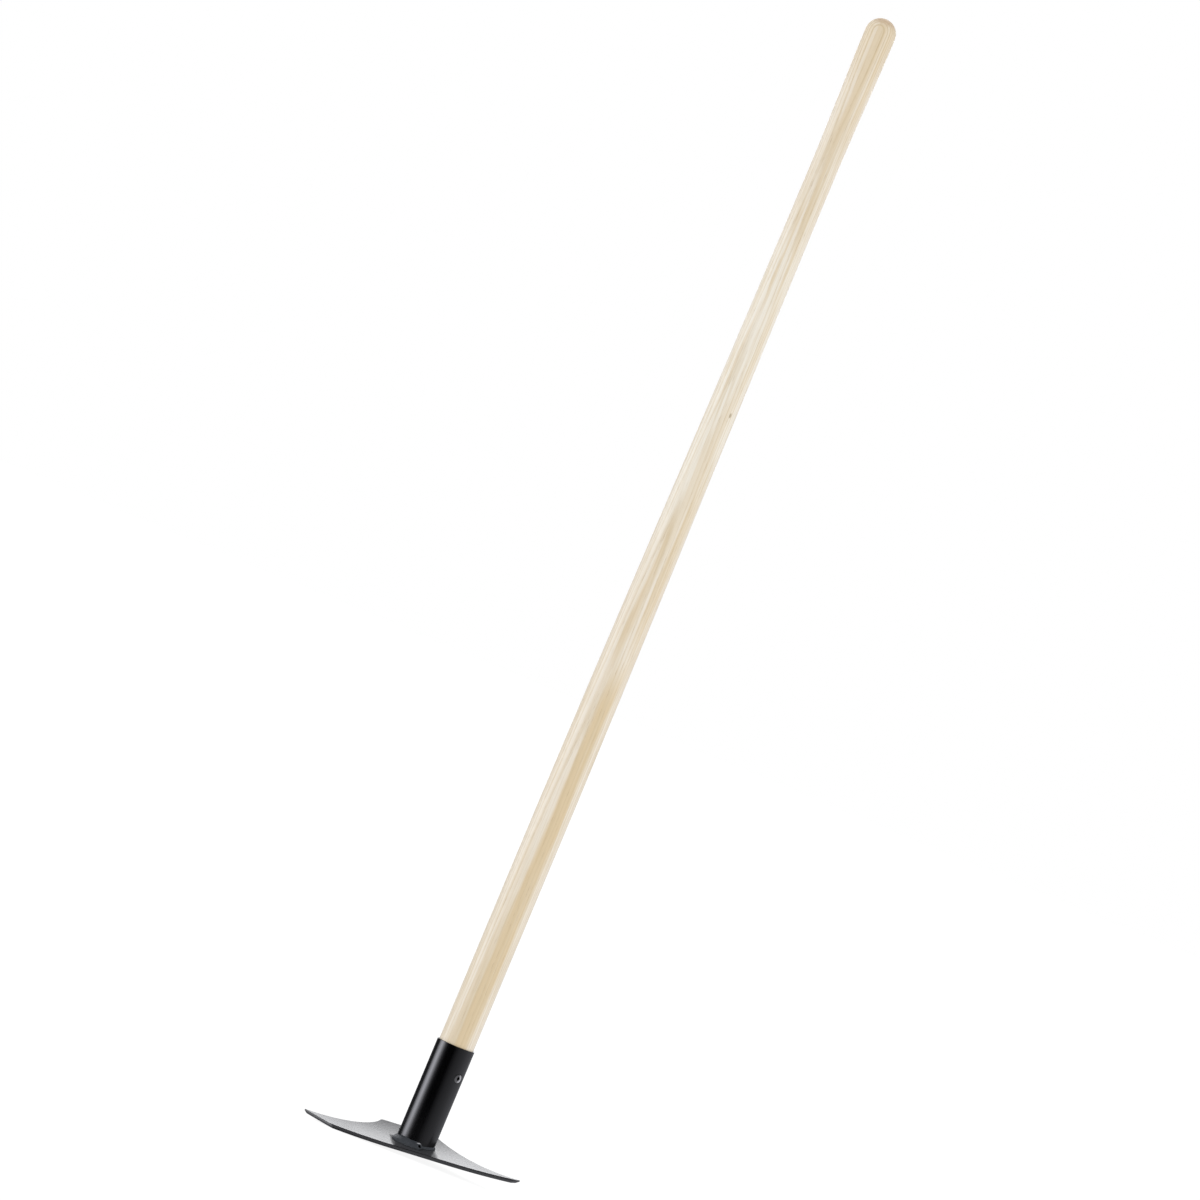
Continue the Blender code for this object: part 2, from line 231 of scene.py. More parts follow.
# Painted shade on the screw's head: on its left and down in its recess
HEAD_SHADE_BLACK = (0.06, 0.06, 0.06, 1)
RECESS_SHADE_BLACK = (0.012, 0.011, 0.010, 1)
FLOOR_SHADE = (0.90, 0.90, 0.90, 1)
FLOOR_LIGHT = (0.92, 0.92, 0.92, 1)
CARD_TINT = (0.92, 0.925, 1.0, 1)
PANEL_TINT = (0.975, 0.98, 1.0, 1)
WHITE = (1, 1, 1, 1)

# The wood's pattern. The pale stretch fades in between two heights and out between two others. A streak has
# its place across the handle at its foot and head, its half width, its foot's and head's heights over the rim
# and its strength.
PITH = (0.014, 0.070, 0)
GRAIN_WAVE = 0.008
RING_WIDTH = 0.0027
RING_LEAN = 0.0075
RING_WANDER = 0.006
FIBRE_SCALE = 1100.0
PORE_SCALE = 2600.0
FLAME_SCALE = 240.0
FRAY_SCALE = 260.0
FRAY_REACH = 0.0016
PALE_START = (0.58, 0.74)
PALE_END = (1.06, 0.94)
KNOT_HALF = (0.0013, 0.005, 0.0032)
STREAK_FADE = 0.08
STREAK_EDGE = (1.25, 0.55)
STREAKS = (
    (0.0045, 0.0045, 0.0075, -0.10, 0.45, 0.95),
    (-0.0065, -0.0055, 0.0035, -0.10, 0.22, 0.42),
    (-0.0040, -0.0030, 0.0035, 0.38, 0.62, 0.60),
    (0.0060, 0.0105, 0.0050, 0.40, 0.66, 0.62),
    (0.0000, -0.0010, 0.0028, 0.48, 0.72, 0.36),
    (0.0045, 0.0060, 0.0042, 0.55, 0.76, 0.46),
    (-0.0070, -0.0065, 0.0016, 0.66, 0.84, 0.38),
    (0.0100, 0.0095, 0.0018, 0.66, 0.86, 0.42),
    (-0.0030, -0.0035, 0.0016, 0.78, 0.96, 0.60),
    (0.0058, 0.0070, 0.0020, 0.78, 0.98, 0.50),
    (0.0032, 0.0030, 0.0030, 0.86, 1.06, 0.60),
    (0.0010, 0.0000, 0.0060, 0.94, 1.20, 0.62),
    (0.0100, 0.0105, 0.0030, 0.96, 1.20, 0.55),
)

# Each paint's roughness, its grain's size and its grain's depth
TUBE_FINISH = (0.17, 0.0011, 0.00002)
BLADE_FINISH = (0.24, 0.0016, 0.00003)
WELD_FINISH = (0.52, 0.0009, 0.00004)

# Patterns in the paint and the zinc
CLOUD_SCALE = 45.0
DUST_SCALE = 1900.0
MOTTLE_SCALE = 900.0
MARK_FRAY_SCALE = 1500.0

# Painted highlight and shade on the weld: turn round the tube, distance out of it, height over the blade and
# half sizes
WELD_LIP_HIGHLIGHT = (1.5, 0.0026, 0.0047, (0.0043, 0.0012, 0.0011))
WELD_PIT_SHADE = (0.3, 0.0069, 0.0031, (0.0019, 0.0024, 0.0022))

# Painted reflections, shade and highlight on the blade: each fades in from the first place to the second
TUBE_REFLECTION_LEFT = (-0.0315, -0.0270)
TUBE_REFLECTION_RIGHT = (0.0228, 0.0165)
TUBE_REFLECTION_BACK = (0.004, -0.004)
FRONT_EDGE_SHADE_BACK = (-0.0390, -0.0402)
CORNER_HIGHLIGHT_RIGHT = (0.0005 - FRONT_LEFT, -0.0015 - FRONT_LEFT)
SOFT_REFLECTION_REACH = (0.065, 0.030)

# The studio. The surround's glow is given at turns from the camera.
AIM_HEIGHT = 0.5
FLOOR_SIZE = 60
FLOOR_DROP = 0.0005
FLOOR_GLOW = 1.12
FLOOR_GLOW_SHARE = 0.8
SURROUND_RADIUS = 9.0
STRONGEST_GLOW = 8.0
SURROUND_GLOW = (
    (-180, 0.15), (-126, 0.06), (-112, 0.25), (-93, 6.0), (-82, 8.0), (-70, 4.0), (-58, 0.8), (-46, 0.10),
    (-32, 0.0), (0, 0.0), (32, 0.4), (60, 0.6), (95, 0.82), (130, 0.55), (180, 0.15),
)


def blade_height(x, y):
    """Height of the flat spot's upper face above the point (x, y)."""
    return BLADE_TOP.z - (BLADE_UP.x * (x - BLADE_TOP.x) + BLADE_UP.y * (y - BLADE_TOP.y)) / BLADE_UP.z


def ease(t):
    """0 to 1 with a level start and a level end."""
    t = min(max(t, 0.0), 1.0)
    return t * t * (3 - 2 * t)


def deselect_all():
    """Leaves no object selected."""
    bpy.ops.object.select_all(action="DESELECT")


def select_only(piece):
    """Makes the piece the only selected one, and the active one."""
    deselect_all()
    piece.select_set(True)
    bpy.context.view_layer.objects.active = piece


def edit(piece):
    """Makes the piece the only selected one and opens its mesh with everything in it selected."""
    select_only(piece)
    bpy.ops.object.mode_set(mode="EDIT")
    bpy.ops.mesh.select_mode(type="VERT")
    bpy.ops.mesh.select_all(action="SELECT")


def stop_editing():
    """Closes the open mesh."""
    bpy.ops.object.mode_set(mode="OBJECT")


def select_edges(piece, wanted):
    """Selects the open mesh's edges whose two ends are both wanted, and nothing else."""
    bpy.ops.mesh.select_mode(type="EDGE")
    bpy.ops.mesh.select_all(action="DESELECT")
    stop_editing()
    ends = [wanted(vert.co) for vert in piece.data.vertices]
    for edge in piece.data.edges:
        edge.select = ends[edge.vertices[0]] and ends[edge.vertices[1]]
    bpy.ops.object.mode_set(mode="EDIT")


def apply_modifier(piece, name, kind, **settings):
    """Adds a modifier with these settings and applies it."""
    select_only(piece)
    modifier = piece.modifiers.new(name, kind)
    for setting, value in settings.items():
        setattr(modifier, setting, value)
    bpy.ops.object.modifier_apply(modifier=name)


def apply_place(piece):
    """Moves the object's place into its mesh."""
    select_only(piece)
    bpy.ops.object.transform_apply(location=True, rotation=True, scale=True)


def cut_out(piece, cutter):
    """Takes the cutter's solid out of the piece and throws the cutter away."""
    apply_modifier(piece, "cut", "BOOLEAN", object=cutter, operation="DIFFERENCE", solver="EXACT")
    bpy.data.objects.remove(cutter, do_unlink=True)


def draw_turned(profile, sides):
    """A turned solid: a disc is drawn up ring by ring. The profile gives each ring's radius and height."""
    radius, height = profile[0]
    deselect_all()
    bpy.ops.mesh.primitive_circle_add(
        vertices=sides, radius=radius, fill_type="NGON", location=(0, 0, height)
    )
    solid = bpy.context.object
    edit(solid)
    for next_radius, next_height in profile[1:]:
        bpy.ops.mesh.extrude_region_move(TRANSFORM_OT_translate={"value": (0, 0, next_height - height)})
        share = next_radius / radius
        bpy.ops.transform.resize(value=(share, share, 1), center_override=(0, 0, next_height))
        radius, height = next_radius, next_height
    bpy.ops.mesh.select_all(action="SELECT")
    bpy.ops.mesh.normals_make_consistent(inside=False)
    stop_editing()
    apply_place(solid)
    return solid


def finish_piece(piece, name, node, material, sharp_from):
    """Names, shades and paints a piece and puts it in its CAD node's place, if it has one."""
    piece.name = name
    piece.data.name = name
    select_only(piece)
    bpy.ops.object.mode_set(mode="EDIT")
    bpy.ops.mesh.select_all(action="SELECT")
    bpy.ops.mesh.remove_doubles(threshold=TINY)
    bpy.ops.mesh.normals_make_consistent(inside=False)
    stop_editing()
    bpy.ops.object.shade_smooth_by_angle(angle=math.radians(sharp_from))
    apply_modifier(
        piece, "even_shading", "WEIGHTED_NORMAL", mode="FACE_AREA", keep_sharp=True, weight=FACE_WEIGHT
    )
    piece.data.materials.clear()
    piece.data.materials.append(material)
    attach(piece, "root")
    if node:
        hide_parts(node)
    return piece


# Handle


def handle_radius(out):
    """Radius of the turned handle at a distance out of the socket, up to the middle of its round end."""
    knob_middle = HANDLE_REACH - HANDLE_KNOB / 2
    if out <= WAIST_HEIGHT:
        share = max(0.0, (out - TAPER_START) / (WAIST_HEIGHT - TAPER_START))
        return (HANDLE_LOWER + (HANDLE_WAIST - HANDLE_LOWER) * (ease(share) + share) / 2) / 2
    swell = ease((out - WAIST_HEIGHT) / (knob_middle - WAIST_HEIGHT)) ** KNOB_SWELL
    return (HANDLE_WAIST + (HANDLE_KNOB - HANDLE_WAIST) * swell) / 2


def handle_profile():
    """Radius and height of each ring of the handle, from its foot in the socket to its round end."""
    knob_radius = HANDLE_KNOB / 2
    knob_middle = HANDLE_REACH - knob_radius
    profile = [(TENON_RADIUS - FOOT_CHAMFER, HANDLE_FOOT), (TENON_RADIUS, HANDLE_FOOT + FOOT_CHAMFER)]
    profile += [(TENON_RADIUS, RIM_HEIGHT + GAP), (HANDLE_LOWER / 2, RIM_HEIGHT + 2 * GAP)]
    taper = WAIST_HEIGHT - TAPER_START
    knob = knob_middle - WAIST_HEIGHT
    stations = [TAPER_START * i / LOWER_STEPS for i in range(1, LOWER_STEPS)]
    stations += [TAPER_START + taper * i / TAPER_STEPS for i in range(TAPER_STEPS)]
    stations += [WAIST_HEIGHT + knob * i / KNOB_STEPS for i in range(KNOB_STEPS + 1)]
    profile += [(handle_radius(out), RIM_HEIGHT + out) for out in stations]
    for i in range(1, DOME_STEPS):
        turn = math.pi / 2 * i / DOME_STEPS
        out = knob_middle + knob_radius * math.sin(turn)
        profile.append((knob_radius * math.cos(turn), RIM_HEIGHT + out))
    profile.append((knob_radius * KNOB_TIP_SHARE, HANDLE_TOP))
    return profile


def make_handle(material):
    """One turned piece, from its foot in the socket to its round end, drilled for the screw."""
    handle = draw_turned(handle_profile(), HANDLE_SIDES)
    cut_out(handle, make_drill())
    return finish_piece(handle, "ash_handle", "handle", material, HANDLE_SHARP)


# Socket tube


def screw_place():
    """Turns +Z outward along the screw's axis and brings the origin to the tube's axis at its height."""
    turn = math.radians(SCREW_TURN)
    outward = Vector((math.sin(turn), -math.cos(turn), 0))
    facing = outward.to_track_quat("Z", "Y").to_matrix().to_4x4()
    return Matrix.Translation((0, 0, RIM_HEIGHT - SCREW_DROP)) @ facing


def screw_heights():
    """Distances from the tube's axis to the screw's point, its cone's foot and its head's edge."""
    edge = TUBE_RADIUS - SCREW_SINK
    throat = edge - SCREW_HEAD_EDGE - (SCREW_HEAD - SCREW_SHANK) / 2
    return edge - SCREW_LENGTH, throat, edge


def make_drill():
    """The shape of the screw's hole, from the screw's point out past its countersunk head."""
    point, throat, edge = screw_heights()
    hole = SCREW_SHANK / 2 + GAP
    mouth = SCREW_HEAD / 2 + GAP
    # The cone is at 45 degrees, so this brings it the full gap away from the head's cone
    lower = GAP * (math.sqrt(2) - 1)
    profile = [(SCREW_TIP, point - GAP), (hole, point - GAP + SCREW_POINT), (hole, throat - lower)]
    profile += [(mouth, edge - SCREW_HEAD_EDGE - lower), (mouth, TUBE_OUTER)]
    drill = draw_turned(profile, SCREW_SIDES)
    drill.matrix_world = screw_place()
    return drill


def make_tube(material):
    """A tube with a rounded rim, cut at its foot to the blade's lean and drilled for the screw."""
    below = 0.02
    deselect_all()
    bpy.ops.mesh.primitive_cylinder_add(
        vertices=TUBE_SIDES,
        radius=TUBE_RADIUS,
        depth=RIM_HEIGHT + below,
        end_fill_type="NOTHING",
        location=(0, 0, (RIM_HEIGHT - below) / 2),
    )
    tube = bpy.context.object
    apply_place(tube)
    screw_height = RIM_HEIGHT - SCREW_DROP
    edit(tube)
    for height in (screw_height - HOLE_BAND, screw_height + HOLE_BAND, *TUBE_RINGS):
        bpy.ops.mesh.select_all(action="SELECT")
        bpy.ops.mesh.bisect(plane_co=(0, 0, height), plane_no=(0, 0, 1))
    stop_editing()
    apply_modifier(tube, "wall", "SOLIDIFY", thickness=TUBE_WALL, offset=-1, use_even_offset=True)
    edit(tube)
    bpy.ops.mesh.bisect(
        plane_co=(0, 0, blade_height(0, 0) + GAP), plane_no=BLADE_UP, use_fill=True, clear_inner=True
    )
    wall_middle = TUBE_RADIUS - TUBE_WALL / 2
    rim = RIM_HEIGHT - CUT_TOLERANCE
    select_edges(tube, lambda point: point.z > rim and point.xy.length > wall_middle)
    bpy.ops.mesh.bevel(offset=TUBE_RIM_ROUNDING, segments=EDGE_STEPS, affect="EDGES")
    stop_editing()
    cut_out(tube, make_drill())
    return finish_piece(tube, "painted_tube", "socket_tube", material, TUBE_SHARP)


# Blade


def outline_knots(front, tip, corner, hand):
    """Half of the blade's outline as curve knots: place, handle before and handle after. Hand is 1 or -1."""
    at_tip = math.radians(SIDE_ANGLE_AT_TIP)
    at_back = math.radians(SIDE_ANGLE_AT_BACK)
    leaving = tip + SIDE_PULL_AT_TIP * Vector((-math.cos(at_tip), math.sin(at_tip)))
    inward = Vector((math.cos(at_back), -math.sin(at_back)))
    round_start = corner + BACK_CORNER_RADIUS * inward
    round_end = corner - Vector((BACK_CORNER_RADIUS, 0))
    knots = [
        (front, front, front.lerp(tip, STRAIGHT_PULL)),
        (tip, tip.lerp(front, STRAIGHT_PULL), leaving),
        (round_start, corner + SIDE_PULL_AT_BACK * inward, corner),
        (round_end, corner, round_end),
    ]
    return [[Vector((hand * point.x, point.y, 0)) for point in knot] for knot in knots]


def draw_blade_plan():
    """The blade's outline as one closed flat curve, thickened to a plate with eased edges."""
    right = outline_knots(
        Vector((FRONT_RIGHT, -FRONT_REACH)),
        Vector((TIP_RIGHT, TIP_RIGHT_SETBACK - FRONT_REACH)),
        Vector((BACK_RIGHT, BACK_REACH)),
        1,
    )
    left = outline_knots(
        Vector((FRONT_LEFT, -FRONT_REACH)),
        Vector((TIP_LEFT, TIP_LEFT_SETBACK - FRONT_REACH)),
        Vector((BACK_LEFT, BACK_REACH)),
        -1,
    )
    knots = right + [[place, after, before] for place, before, after in reversed(left)]
    deselect_all()
    bpy.ops.curve.primitive_bezier_curve_add(location=(0, 0, 0))
    plan = bpy.context.object
    plan.data.dimensions = "2D"
    plan.data.resolution_u = CURVE_STEPS
    plan.data.fill_mode = "BOTH"
    plan.data.extrude = BLADE_THICKNESS / 2 - BLADE_EDGE_ROUNDING
    plan.data.bevel_depth = BLADE_EDGE_ROUNDING
    plan.data.bevel_resolution = EDGE_STEPS
    plan.data.offset = -BLADE_EDGE_ROUNDING
    line = plan.data.splines[0]
    line.use_cyclic_u = True
    line.bezier_points.add(len(knots) - len(line.bezier_points))
    for point, (place, before, after) in zip(line.bezier_points, knots):
        point.handle_left_type = "FREE"
        point.handle_right_type = "FREE"
        point.co = place
        point.handle_left = before
        point.handle_right = after
    bpy.ops.object.convert(target="MESH")
    plate = bpy.context.object
    plate.location.z = BLADE_THICKNESS / 2
    apply_place(plate)
    return plate, [knot[0] for knot in knots]


def dish(distance):
    """Rise of the dish at a distance from the socket's axis along either of the blade's directions."""
    beyond = max(0.0, abs(distance) - FLAT_HALF)
    return beyond * beyond / (2 * DISH_RADIUS)


def grind_edge(start, end):
    """Grinds the underside of the open mesh along the outline's edge from start to end."""
    along = (end - start).normalized()
    outward = Vector((along.y, -along.x, 0))
    fall = -outward * LOOKS_GRIND_WIDTH - Vector((0, 0, BLADE_THICKNESS - GRIND_LAND))
    normal = fall.cross(along).normalized()
    if normal.z > 0:
        normal.negate()
    foot = start + Vector((0, 0, BLADE_THICKNESS - GRIND_LAND))
    bpy.ops.mesh.select_all(action="SELECT")
    bpy.ops.mesh.bisect(
        plane_co=foot, plane_no=normal, use_fill=True, clear_outer=True, threshold=CUT_TOLERANCE
    )


def grid_lines(low, high):
    """Where the dish needs facets between low and high, counted out from the flat spot."""
    below = [-FLAT_HALF - i * GRID_STEP for i in range(int((-low - FLAT_HALF) / GRID_STEP) + 1)]
    above = [FLAT_HALF + i * GRID_STEP for i in range(int((high - FLAT_HALF) / GRID_STEP) + 1)]
    return below + [0.0] + above


def make_blade(material):
    """A flat plate of the outline, ground along its front edges, then dished and leaned."""
    blade, corners = draw_blade_plan()
    front_right, tip_right = corners[0], corners[1]
    front_left, tip_left = corners[-1], corners[-2]
    edit(blade)
    bpy.ops.mesh.remove_doubles(threshold=TINY)
    bpy.ops.mesh.normals_make_consistent(inside=False)
    bpy.ops.mesh.dissolve_limited(angle_limit=math.radians(FLAT_ANGLE))
    for start, end in ((front_left, front_right), (front_right, tip_right), (tip_left, front_left)):
        grind_edge(start, end)
    for x in grid_lines(-TIP_LEFT, TIP_RIGHT):
        bpy.ops.mesh.select_all(action="SELECT")
        bpy.ops.mesh.bisect(plane_co=(x, 0, 0), plane_no=(1, 0, 0), threshold=CUT_TOLERANCE)
    for y in grid_lines(-FRONT_REACH, BACK_REACH):
        bpy.ops.mesh.select_all(action="SELECT")
        bpy.ops.mesh.bisect(plane_co=(0, y, 0), plane_no=(0, 1, 0), threshold=CUT_TOLERANCE)
    bpy.ops.mesh.select_all(action="SELECT")
    bpy.ops.mesh.quads_convert_to_tris()
    stop_editing()
    for vert in blade.data.vertices:
        vert.co.z += dish(vert.co.x) + dish(vert.co.y)
    blade.matrix_world = LEAN
    apply_place(blade)
    return finish_piece(blade, "painted_blade", "blade", material, BLADE_SHARP)


# Welds


def weld_size(t, slow_start):
    """Size of the bead at a share of its length: it thins out slowly at its start and quickly at its end."""
    taper = ease(t / slow_start) * math.sqrt(ease((1 - t) / WELD_END_TAPER))
    return WELD_TIP_SIZE + (1 - WELD_TIP_SIZE) * taper


def crater(from_end, share):
    """How far the crater at the bead's end sinks below its face, or with a minus how high its lip stands."""
    off = math.hypot(from_end - CRATER_SETBACK, (share - CRATER_SHARE) * WELD_LEG) / CRATER_RADIUS
    lip = math.exp(-(((off - LIP_PLACE) / LIP_SPREAD) ** 2))
    return CRATER_DEPTH * math.exp(-off * off) - CRATER_LIP * lip


def lay_weld(name, node, span, leg, height, slow_start, material):
    """A fillet bead: its section is spun round the tube, then each slice is sized, rippled and seated."""
    first, last = math.radians(span[0]), math.radians(span[1])
    middle_radius = TUBE_RADIUS + leg / 2
    length = (last - first) * middle_radius
    ripples = max(1, round(length / RIPPLE_PITCH))
    deselect_all()
    bpy.ops.mesh.primitive_circle_add(vertices=WELD_SECTION_STEPS + 2, radius=1, location=(0, 0, 0))
    bead = bpy.context.object
    reach = TUBE_RADIUS + GAP
    section = [(0.0, 0.0)]
    for i in range(WELD_SECTION_STEPS + 1):
        along = math.pi / 2 * i / WELD_SECTION_STEPS
        section.append((math.cos(along) ** WELD_HOLLOW, math.sin(along) ** WELD_HOLLOW))
    start = Vector((math.sin(first), -math.cos(first), 0))
    for vert, (out, up) in zip(bead.data.vertices, section):
        vert.co = start * (reach + leg * out) + Vector((0, 0, height * up))
    edit(bead)
    bpy.ops.mesh.spin(
        steps=ripples * RIPPLE_STEPS, angle=first - last, center=(0, 0, 0), axis=(0, 0, 1)
    )
    bpy.ops.mesh.select_all(action="DESELECT")
    bpy.ops.mesh.select_mode(type="EDGE")
    bpy.ops.mesh.select_non_manifold(extend=False)
    bpy.ops.mesh.edge_face_add()
    stop_editing()
    for vert in bead.data.vertices:
        out = (vert.co.xy.length - reach) / leg
        up = vert.co.z / height
        turn = math.atan2(vert.co.x, -vert.co.y)
        # The rear weld passes the back, where the angle jumps from a half turn to minus a half turn
        if turn < first - math.radians(TURN_SLACK):
            turn += 2 * math.pi
        t = min(1.0, max(0.0, (turn - first) / (last - first)))
        size = weld_size(t, slow_start)
        share = math.atan2(up, max(out, TINY)) / (math.pi / 2)
        crescent = math.sin(math.pi * share)
        wave = math.sin(2 * math.pi * ripples * t)
        uneven = noise.noise(vert.co / WELD_UNEVENNESS_PITCH) * WELD_UNEVENNESS
        swell = size * (1 + RIPPLE_HEIGHT * wave + uneven)
        swell -= crater((1 - t) * length, share) / (WELD_LEG * CRATER_BODY) * crescent
        turn += WELD_BOW * size * crescent * leg / WELD_LEG / middle_radius
        bulge = math.exp(-(((math.degrees(turn) - WELD_BULGE_TURN) / WELD_BULGE_SPREAD) ** 2))
        distance = reach + leg * out * swell * (1 + WELD_BULGE * bulge)
        x, y = distance * math.sin(turn), -distance * math.cos(turn)
        vert.co = (x, y, blade_height(x, y) + GAP + height * up * swell)
    return finish_piece(bead, name, node, material, WELD_SHARP)


# Screw


def make_screw(material):
    """A countersunk wood screw with a low dome and a star recess."""
    point, throat, edge = screw_heights()
    head = SCREW_HEAD / 2
    shank = SCREW_SHANK / 2
    profile = [(SCREW_TIP, point), (shank, point + SCREW_POINT), (shank, throat)]
    profile.append((head, edge - SCREW_HEAD_EDGE))
    for i in range(SCREW_DOME_STEPS):
        turn = math.pi / 2 * i / SCREW_DOME_STEPS
        profile.append((head * math.cos(turn), edge + SCREW_DOME * math.sin(turn)))
    profile.append((SCREW_TIP, edge + SCREW_DOME))
    screw = draw_turned(profile, SCREW_SIDES)
    top = edge + SCREW_DOME
    reach = RECESS_SPAN / 2
    star = draw_turned([(reach, top - RECESS_DEPTH), (reach, top + RECESS_DEPTH)], SCREW_SIDES)
    for vert in star.data.vertices:
        turn = math.atan2(vert.co.y, vert.co.x)
        shrink = 1 - RECESS_WAVE * (1 - math.cos(RECESS_LOBES * turn)) / 2
        vert.co.x *= shrink
        vert.co.y *= shrink
    cut_out(screw, star)
    screw.matrix_world = screw_place()
    apply_place(screw)
    return finish_piece(screw, "zinc_screw", "handle_screw", material, SCREW_SHARP)


# Materials


def new_material(name):
    """A material with only its output, and its tree."""
    material = bpy.data.materials.new(name)
    material.use_nodes = True
    material.node_tree.nodes.clear()
    return material, material.node_tree


def add_node(tree, kind, inputs=None, **settings):
    """Adds a node with these settings. Its inputs are filled with values or with other nodes' outputs."""
    made = tree.nodes.new(kind)
    for setting, value in settings.items():
        setattr(made, setting, value)
    for socket, value in (inputs or {}).items():
        if isinstance(value, bpy.types.NodeSocket):
            tree.links.new(value, made.inputs[socket])
        else:
            made.inputs[socket].default_value = value
    return made


def calculate(tree, operation, first, second=0.0, clamp=False):
    """One Math node's result."""
    made = add_node(tree, "ShaderNodeMath", {0: first, 1: second}, operation=operation, use_clamp=clamp)
    return made.outputs[0]


def between(tree, value, low, high, to_low=0.0, to_high=1.0):
    """The value's smooth way from low to high, as a number from to_low to to_high."""
    made = add_node(
        tree,
        "ShaderNodeMapRange",
        {"Value": value, "From Min": low, "From Max": high, "To Min": to_low, "To Max": to_high},
        interpolation_type="SMOOTHSTEP",
    )
    return made.outputs["Result"]


def blend_colours(tree, share, first, second):
    """The first colour at share 0 and the second at share 1."""
    made = add_node(tree, "ShaderNodeMix", {0: share, 6: first, 7: second}, data_type="RGBA")
    return made.outputs[2]


def speckle(tree, place, scale, detail=2.0, roughness=0.5):
    """A noise pattern's value at a place."""
    made = add_node(
        tree,
        "ShaderNodeTexNoise",
        {"Vector": place, "Scale": scale, "Detail": detail, "Roughness": roughness},
    )
    return made.outputs["Fac"]


def stretched(tree, place, scale):
    """The place with each of its directions scaled."""
    return vector_math(tree, "MULTIPLY", place, scale)


def vector_math(tree, operation, first, second=None):
    """One Vector Math node's result: a number for a dot product or a length, or else a vector."""
    inputs = {0: first} if second is None else {0: first, 1: second}
    made = add_node(tree, "ShaderNodeVectorMath", inputs, operation=operation)
    return made.outputs["Value" if operation in ("DOT_PRODUCT", "LENGTH") else "Vector"]


def level_of(tree, vector):
    """A vector's part along Z."""
    return add_node(tree, "ShaderNodeSeparateXYZ", {0: vector}).outputs["Z"]


def output_surface(tree, shader):
    """Ends the material in this shader."""
    add_node(tree, "ShaderNodeOutputMaterial", {"Surface": shader})


def tan_streaks(tree, across, up):
    """How strong the tan streaks are at a place across the handle and a height."""
    tan = None
    for at_foot, at_head, half_width, foot, head, strength in STREAKS:
        foot += RIM_HEIGHT
        head += RIM_HEIGHT
        line = add_node(
            tree,
            "ShaderNodeMapRange",
            {"Value": up, "From Min": foot, "From Max": head, "To Min": at_foot, "To Max": at_head},
        ).outputs["Result"]
        off = calculate(tree, "ABSOLUTE", calculate(tree, "SUBTRACT", across, line))
        outer, inner = (half_width * share for share in STREAK_EDGE)
        mark = between(tree, off, outer, inner, 0.0, strength)
        fade = min(STREAK_FADE, (head - foot) / 3)
        mark = calculate(tree, "MULTIPLY", mark, between(tree, up, foot, foot + fade))
        mark = calculate(tree, "MULTIPLY", mark, between(tree, up, head, head - fade))
        tan = mark if tan is None else calculate(tree, "MAXIMUM", tan, mark)
    return tan


